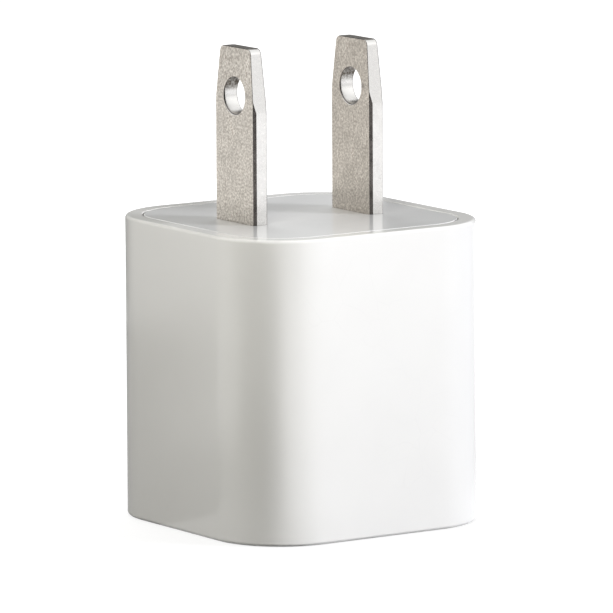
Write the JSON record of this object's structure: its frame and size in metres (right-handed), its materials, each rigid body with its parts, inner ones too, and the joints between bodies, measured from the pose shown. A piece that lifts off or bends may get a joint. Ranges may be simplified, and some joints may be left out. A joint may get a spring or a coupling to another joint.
{
  "type": "usb wall charger",
  "caption": "Small white cube wall charger with round corners, flat mains blades in a flush end plate and a USB-A socket in the opposite face.",
  "frame": {"origin": "middle of the socket face, on which the charger stands", "axes": "+Z from the socket face to the blade tips, X from one blade to the other, Y along the blades' width"},
  "size_m": [0.027, 0.027, 0.0438],
  "materials": {
    "white_shell": "polished moulded white",
    "white_plate": "polished moulded white",
    "blade_metal": "nickel plate with fine pressing grain",
    "spring_bronze": "plain",
    "board": "solder mask",
    "resistor_coat": "lacquer",
    "chip_black": "moulded epoxy",
    "inductor_coat": "lacquer",
    "can_sleeve": "shrunk sleeve",
    "chip_tan": "sintered",
    "ferrite": "ground ferrite",
    "bobbin_black": "moulded",
    "copper_wire": "enamelled wire",
    "tape_yellow": "film tape",
    "tinned_pins": "tinned",
    "disc_coat": "dipped coat",
    "film": "thin film",
    "socket_steel": "nickel-plated sheet",
    "socket_tongue": "moulded",
    "contact_gold": "gold plate",
    "can_bare": "bare can"
  },
  "bodies": {
    "root": {"housing": "white_shell", "blade_plate": "white_plate", "blade_left": "blade_metal", "blade_right": "blade_metal", "ac_contact_left": "spring_bronze", "ac_contact_right": "spring_bronze", "main_board": "board", "usb_board": "board", "fusible_resistor": "resistor_coat", "bridge_rectifier": "chip_black", "controller_chip": "chip_black", "power_transistor": "chip_black", "output_rectifier": "chip_black", "filter_inductor": "inductor_coat", "bulk_capacitor_left": "can_sleeve", "bulk_capacitor_right": "can_sleeve", "main_board_passives": "chip_tan", "usb_board_passives": "chip_tan", "transformer_core_front": "ferrite", "transformer_core_rear": "ferrite", "transformer_bobbin": "bobbin_black", "transformer_winding": "copper_wire", "transformer_tape": "tape_yellow", "transformer_pins": "tinned_pins", "y_capacitor": "disc_coat", "insulation_sheet": "film", "usb_shell": "socket_steel", "usb_insulator": "socket_tongue", "usb_contacts": "contact_gold", "output_capacitor_left": "can_bare", "output_capacitor_right": "can_bare"}
  },
  "joints": []
}
